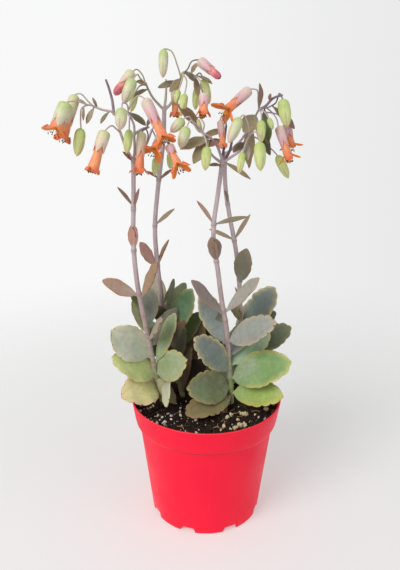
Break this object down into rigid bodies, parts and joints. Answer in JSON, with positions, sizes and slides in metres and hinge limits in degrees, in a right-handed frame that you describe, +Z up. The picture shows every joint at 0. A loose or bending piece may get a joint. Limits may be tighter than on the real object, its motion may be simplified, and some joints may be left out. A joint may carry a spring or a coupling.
{
  "type": "potted kalanchoe",
  "caption": "Flowering succulent in a round plastic nursery pot: slender stems with scalloped fleshy leaves carry nodding bell flowers and buds above the potting soil.",
  "frame": {"origin": "centre of the pot's flat underside, on the surface the pot stands on", "axes": "+Z up along the pot's axis, -Y towards the front of the plant, +X to the right seen from the front"},
  "size_m": [0.1554, 0.11, 0.3329],
  "materials": {
    "pot_plastic": "satin moulded plastic",
    "potting_soil": "loose dark peat and bark",
    "stem_skin": "waxy mauve-grey plant skin",
    "leaf_skin": "powdery grey-green fleshy leaf",
    "bud_skin": "smooth pale green bud",
    "petal": "soft coral petal"
  },
  "bodies": {
    "root": {"pot": "pot_plastic", "soil": "potting_soil", "stem_front_left": "stem_skin", "stem_back_left": "stem_skin", "stem_front_right": "stem_skin", "stem_back_right": "stem_skin", "leaf_a01": "leaf_skin", "leaf_a02": "leaf_skin", "leaf_a03": "leaf_skin", "leaf_a04": "leaf_skin", "leaf_a05": "leaf_skin", "leaf_a06": "leaf_skin", "leaf_a07": "leaf_skin", "leaf_a08": "leaf_skin", "leaf_a09": "leaf_skin", "leaf_a10": "leaf_skin", "leaf_b01": "leaf_skin", "leaf_b02": "leaf_skin", "leaf_b03": "leaf_skin", "leaf_b04": "leaf_skin", "leaf_b05": "leaf_skin", "leaf_b06": "leaf_skin", "leaf_b07": "leaf_skin", "leaf_c01": "leaf_skin", "leaf_c02": "leaf_skin", "leaf_c03": "leaf_skin", "leaf_c04": "leaf_skin", "leaf_c05": "leaf_skin", "leaf_c06": "leaf_skin", "leaf_c07": "leaf_skin", "leaf_c08": "leaf_skin", "leaf_c09": "leaf_skin", "leaf_c10": "leaf_skin", "leaf_d01": "leaf_skin", "leaf_d02": "leaf_skin", "leaf_d03": "leaf_skin", "open_flower_a1": "petal", "open_flower_a2": "petal", "bud_a1": "bud_skin", "open_flower_a3": "petal", "bud_a2": "bud_skin", "bud_a3": "bud_skin", "open_flower_a4": "petal", "open_flower_a5": "petal", "bud_b1": "bud_skin", "bud_b2": "bud_skin", "bud_b3": "bud_skin", "bud_b4": "bud_skin", "bud_b5": "bud_skin", "open_flower_b1": "petal", "open_flower_b2": "petal", "bud_c1": "bud_skin", "bud_c2": "bud_skin", "bud_c3": "bud_skin", "open_flower_c1": "petal", "bud_c4": "bud_skin", "bud_c5": "bud_skin", "open_flower_d1": "petal", "bud_d1": "bud_skin", "open_flower_d2": "petal"}
  },
  "joints": []
}
